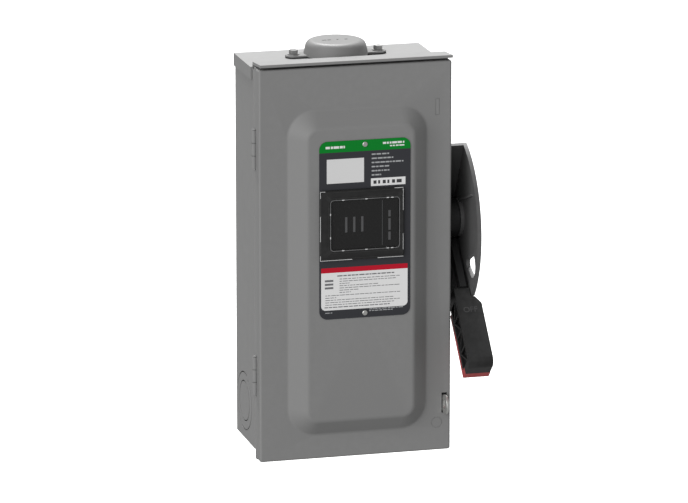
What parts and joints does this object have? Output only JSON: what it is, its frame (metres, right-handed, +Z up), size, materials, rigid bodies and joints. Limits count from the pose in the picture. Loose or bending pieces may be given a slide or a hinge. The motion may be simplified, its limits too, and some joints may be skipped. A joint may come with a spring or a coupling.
{
  "type": "ac disconnect box",
  "caption": "Rainproof wall-hung switch box with a hinged embossed door, a viewing window and a guarded side handle that turns blades between jaws.",
  "frame": {"origin": "centre of the back face that meets the wall", "axes": "+Z up, the door faces -Y, +X towards the handle side, +Y into the wall"},
  "size_m": [0.2544, 0.1584, 0.4535],
  "materials": {
    "enclosure_paint": "satin powder coat, light grey",
    "cap_paint": "satin grey",
    "label_print": "satin printed plate",
    "black_moulding": "moulded black",
    "guard_black": "black",
    "red_moulding": "moulded red",
    "window_pane": "clear, smoked by the dark inside",
    "gasket_rubber": "matte",
    "zinc_steel": "zinc plated",
    "moulded_base": "moulded thermoset",
    "copper_parts": "tin flashed copper",
    "lug_aluminium": "extruded",
    "shield_plastic": "translucent"
  },
  "bodies": {
    "box": {"enclosure_wrap": "enclosure_paint", "top_endwall": "enclosure_paint", "bottom_endwall": "enclosure_paint", "hub_cap_gasket": "gasket_rubber", "hub_cap": "cap_paint", "hub_cap_screws": "zinc_steel", "box_hinge_leaves": "enclosure_paint", "hinge_pins": "enclosure_paint", "hasp_staple": "zinc_steel", "staple_seal": "gasket_rubber", "handle_guard": "guard_black", "handle_base": "guard_black", "mechanism_plate": "zinc_steel", "handle_base_screws": "zinc_steel", "shaft_bushing": "copper_parts", "switch_base": "moulded_base", "base_spacers": "moulded_base", "base_screws": "zinc_steel", "rotor_bearings": "moulded_base", "line_jaws": "copper_parts", "load_jaws": "copper_parts", "line_lugs": "lug_aluminium", "load_lugs": "lug_aluminium", "line_lug_screws": "zinc_steel", "load_lug_screws": "zinc_steel", "line_shield": "shield_plastic", "ground_bar": "lug_aluminium", "ground_screws": "zinc_steel"},
    "door": {"door_panel": "enclosure_paint", "label_plate": "label_print", "label_rivets": "zinc_steel", "window_bezel": "black_moulding", "window_pane": "window_pane", "window_gasket": "gasket_rubber", "window_retainer": "black_moulding", "window_screws": "zinc_steel", "door_hinge_leaves": "enclosure_paint"},
    "handle": {"handle_shaft": "zinc_steel", "handle_lever": "guard_black", "handle_grip": "black_moulding", "handle_grip_insert": "red_moulding", "interlock_cam": "zinc_steel", "drive_spring": "zinc_steel"},
    "rotor": {"rotor_bar": "black_moulding", "switch_blades": "copper_parts"}
  },
  "joints": [
    {"name": "door_swing", "type": "hinge", "parent": "box", "child": "door", "pos_m": [-0.1045, -0.0905, 0], "axis": [0, 0, -1], "range_deg": [0, 120]},
    {"name": "handle_throw", "type": "hinge", "parent": "box", "child": "handle", "pos_m": [0, -0.054, 0.027], "axis": [-1, 0, 0], "range_deg": [0, 95]},
    {"name": "rotor_turn", "type": "hinge", "parent": "box", "child": "rotor", "pos_m": [0, -0.054, 0.027], "axis": [-1, 0, 0], "range_deg": [0, 70.5]}
  ],
  "couplings": [
    {"joint": "rotor_turn", "follows": "handle_throw", "ratio": 0.737}
  ]
}
